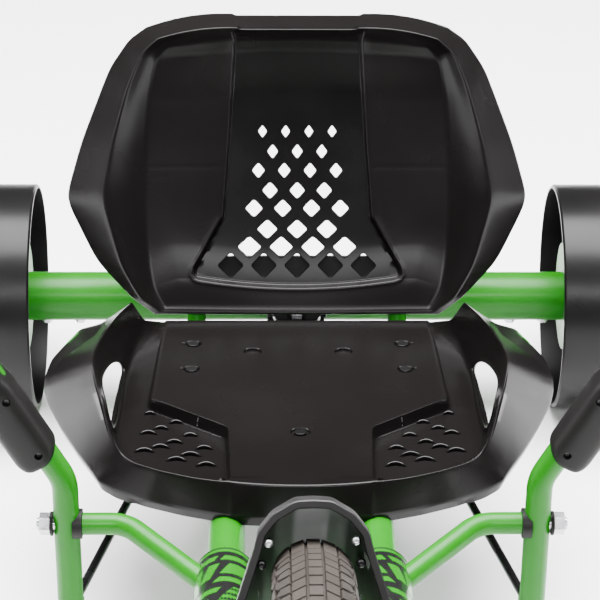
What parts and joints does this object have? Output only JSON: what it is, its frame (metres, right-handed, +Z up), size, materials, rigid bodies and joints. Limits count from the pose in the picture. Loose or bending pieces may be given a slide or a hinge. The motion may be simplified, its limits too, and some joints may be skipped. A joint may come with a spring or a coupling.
{
  "type": "lever-steered pedal trike",
  "caption": "Low pedal trike with a bucket seat, a pedalled front wheel and a rear axle that swivels under the seat, steered by side levers.",
  "frame": {"origin": "on the floor, in the middle of the overall length and width", "axes": "-Y forwards to the front wheel, +X to the rider's left, +Z up"},
  "size_m": [0.77, 1.4464, 0.5139],
  "materials": {
    "frame_paint": "gloss green powder coat",
    "seat_plastic": "satin black blow-moulded plastic",
    "black_plastic": "fine-grained black moulded plastic",
    "fender_plastic": "satin dark grey moulded plastic",
    "wheel_plastic": "smooth black moulded plastic",
    "black_paint": "gloss black paint",
    "zinc": "zinc-plated steel",
    "rim_metal": "black anodised alloy",
    "lever_alloy": "polished alloy",
    "tyre_rubber": "dark grey block tread",
    "tube_rubber": "butyl",
    "grip_rubber": "ribbed soft rubber"
  },
  "bodies": {
    "frame": {"main_frame": "frame_paint", "front_tube_left": "frame_paint", "front_tube_right": "frame_paint", "rail_bushes": "black_plastic", "fork_bridge": "frame_paint", "frame_bolts": "zinc", "outrigger_left": "frame_paint", "outrigger_right": "frame_paint", "lever_pivot_bolts": "zinc", "lever_washers": "black_plastic", "seat_pan": "seat_plastic", "seat_bolts": "zinc", "seat_back": "seat_plastic", "back_plate": "black_paint", "seat_posts": "frame_paint", "back_bolts": "zinc", "wheel_bearings": "zinc", "fender": "fender_plastic", "fender_cheek_left": "fender_plastic", "fender_cheek_right": "fender_plastic", "head_bushes": "black_plastic"},
    "front_wheel": {"front_tyre": "tyre_rubber", "inner_tube": "tube_rubber", "front_rim": "rim_metal", "front_hub": "rim_metal", "spokes": "zinc", "crank_left": "black_paint", "crank_right": "black_paint", "pedal_pins": "zinc"},
    "pedal_left": {"pedal_left": "black_plastic"},
    "pedal_right": {"pedal_right": "black_plastic"},
    "rear_axle": {"axle_tube": "frame_paint", "stub_axle_left": "zinc", "stub_axle_right": "zinc", "axle_bolts": "zinc", "steer_yoke": "black_paint", "king_bolt": "zinc", "axle_nuts": "zinc"},
    "rear_wheel_left": {"rear_wheel_left": "wheel_plastic", "wheel_bushes_left": "black_plastic", "hub_cap_left": "black_plastic"},
    "rear_wheel_right": {"rear_wheel_right": "wheel_plastic", "wheel_bushes_right": "black_plastic", "hub_cap_right": "black_plastic"},
    "lever_left": {"lever_tube_left": "frame_paint", "lever_bush_left": "black_plastic", "lever_shroud_left": "black_plastic", "handgrip_left": "grip_rubber", "brake_perch_left": "black_paint", "lever_pins_left": "zinc"},
    "steer_rod_left": {"steer_rod_left": "black_paint"},
    "brake_lever_left": {"brake_lever_left": "lever_alloy"},
    "lever_right": {"lever_tube_right": "frame_paint", "lever_bush_right": "black_plastic", "lever_shroud_right": "black_plastic", "handgrip_right": "grip_rubber", "brake_perch_right": "black_paint", "lever_pins_right": "zinc"},
    "steer_rod_right": {"steer_rod_right": "black_paint"},
    "brake_lever_right": {"brake_lever_right": "lever_alloy"}
  },
  "joints": [
    {"name": "front_wheel_spin", "type": "hinge", "parent": "frame", "child": "front_wheel", "pos_m": [0, -0.46625, 0.257], "axis": [1, 0, 0], "continuous": true},
    {"name": "pedal_left_spin", "type": "hinge", "parent": "front_wheel", "child": "pedal_left", "pos_m": [0.16, -0.59325, 0.257], "axis": [1, 0, 0], "continuous": true},
    {"name": "pedal_right_spin", "type": "hinge", "parent": "front_wheel", "child": "pedal_right", "pos_m": [-0.16, -0.33925, 0.257], "axis": [1, 0, 0], "continuous": true},
    {"name": "rear_steer", "type": "hinge", "parent": "frame", "child": "rear_axle", "pos_m": [0, 0.50575, 0.1175], "axis": [0, 0, 1], "range_deg": [-25, 25]},
    {"name": "rear_wheel_left_spin", "type": "hinge", "parent": "rear_axle", "child": "rear_wheel_left", "pos_m": [0.33, 0.60575, 0.1175], "axis": [1, 0, 0], "continuous": true},
    {"name": "rear_wheel_right_spin", "type": "hinge", "parent": "rear_axle", "child": "rear_wheel_right", "pos_m": [-0.33, 0.60575, 0.1175], "axis": [1, 0, 0], "continuous": true},
    {"name": "lever_left_swing", "type": "hinge", "parent": "frame", "child": "lever_left", "pos_m": [0.2, 0.07575, 0.2], "axis": [1, 0, 0], "range_deg": [-25.8, 25.8]},
    {"name": "steer_rod_left_pivot", "type": "hinge", "parent": "lever_left", "child": "steer_rod_left", "pos_m": [0.2, 0.07575, 0.09], "axis": [1, 0, 0], "range_deg": [-25.8, 25.8]},
    {"name": "brake_lever_left_pull", "type": "hinge", "parent": "lever_left", "child": "brake_lever_left", "pos_m": [0.27252, 0.07575, 0.29893], "axis": [0, 1, 0], "range_deg": [-8, 0], "stiffness_Nm_per_rad": 2},
    {"name": "lever_right_swing", "type": "hinge", "parent": "frame", "child": "lever_right", "pos_m": [-0.2, 0.07575, 0.2], "axis": [1, 0, 0], "range_deg": [-25.8, 25.8]},
    {"name": "steer_rod_right_pivot", "type": "hinge", "parent": "lever_right", "child": "steer_rod_right", "pos_m": [-0.2, 0.07575, 0.09], "axis": [1, 0, 0], "range_deg": [-25.8, 25.8]},
    {"name": "brake_lever_right_pull", "type": "hinge", "parent": "lever_right", "child": "brake_lever_right", "pos_m": [-0.27252, 0.07575, 0.29893], "axis": [0, 1, 0], "range_deg": [0, 8], "stiffness_Nm_per_rad": 2}
  ],
  "couplings": [
    {"joint": "lever_left_swing", "follows": "rear_steer", "ratio": 1.03},
    {"joint": "steer_rod_left_pivot", "follows": "rear_steer", "ratio": -1.03},
    {"joint": "lever_right_swing", "follows": "rear_steer", "ratio": -1.03},
    {"joint": "steer_rod_right_pivot", "follows": "rear_steer", "ratio": 1.03}
  ]
}
